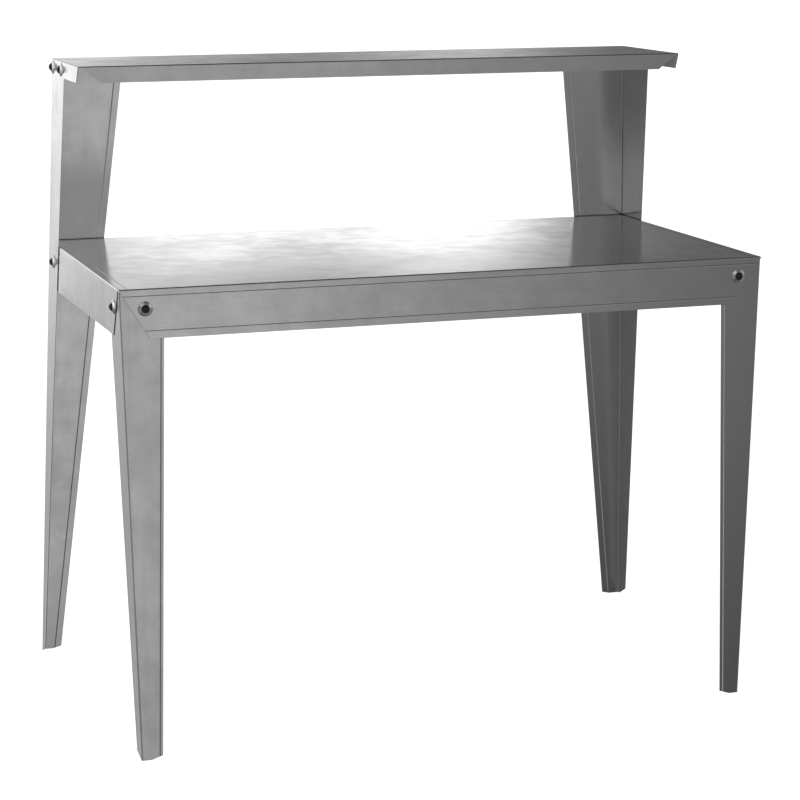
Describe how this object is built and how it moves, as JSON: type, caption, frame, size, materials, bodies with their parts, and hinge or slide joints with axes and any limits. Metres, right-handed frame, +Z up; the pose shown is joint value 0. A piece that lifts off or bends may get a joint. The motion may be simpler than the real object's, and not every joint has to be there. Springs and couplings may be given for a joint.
{
  "type": "potting bench",
  "caption": "Galvanised sheet-steel work bench on four tapered angle legs, with an upper shelf carried by the two tall rear posts.",
  "frame": {"origin": "on the floor, at the middle of the bench's footprint", "axes": "+X to the right seen from the front, +Y towards the back, +Z up"},
  "size_m": [1.1794, 0.652, 1.106],
  "materials": {
    "galvanised_pan_sheet": "satin galvanised sheet",
    "galvanised_leg_sheet": "satin galvanised sheet",
    "black_bolt_steel": "black oxide, semi-gloss",
    "zinc_washer": "bright zinc",
    "zinc_nut": "bright zinc"
  },
  "bodies": {
    "root": {"front_bolts_left": "black_bolt_steel", "front_bolts_right": "black_bolt_steel", "front_cup_washers_left": "zinc_washer", "front_cup_washers_right": "zinc_washer", "front_flat_washers_left": "zinc_washer", "front_flat_washers_right": "zinc_washer", "front_leg_left": "galvanised_leg_sheet", "front_leg_right": "galvanised_leg_sheet", "front_nuts_left": "zinc_nut", "front_nuts_right": "zinc_nut", "rear_bolts_left": "black_bolt_steel", "rear_bolts_right": "black_bolt_steel", "rear_cup_washers_left": "zinc_washer", "rear_cup_washers_right": "zinc_washer", "rear_flat_washers_left": "zinc_washer", "rear_flat_washers_right": "zinc_washer", "rear_nuts_left": "zinc_nut", "rear_nuts_right": "zinc_nut", "rear_post_left": "galvanised_leg_sheet", "rear_post_right": "galvanised_leg_sheet", "shelf_bolts_left": "black_bolt_steel", "shelf_bolts_right": "black_bolt_steel", "shelf_cup_washers_left": "zinc_washer", "shelf_cup_washers_right": "zinc_washer", "shelf_flat_washers_left": "zinc_washer", "shelf_flat_washers_right": "zinc_washer", "shelf_nuts_left": "zinc_nut", "shelf_nuts_right": "zinc_nut", "table_stiffener": "galvanised_leg_sheet", "table_top": "galvanised_pan_sheet", "upper_shelf": "galvanised_pan_sheet"}
  },
  "joints": []
}
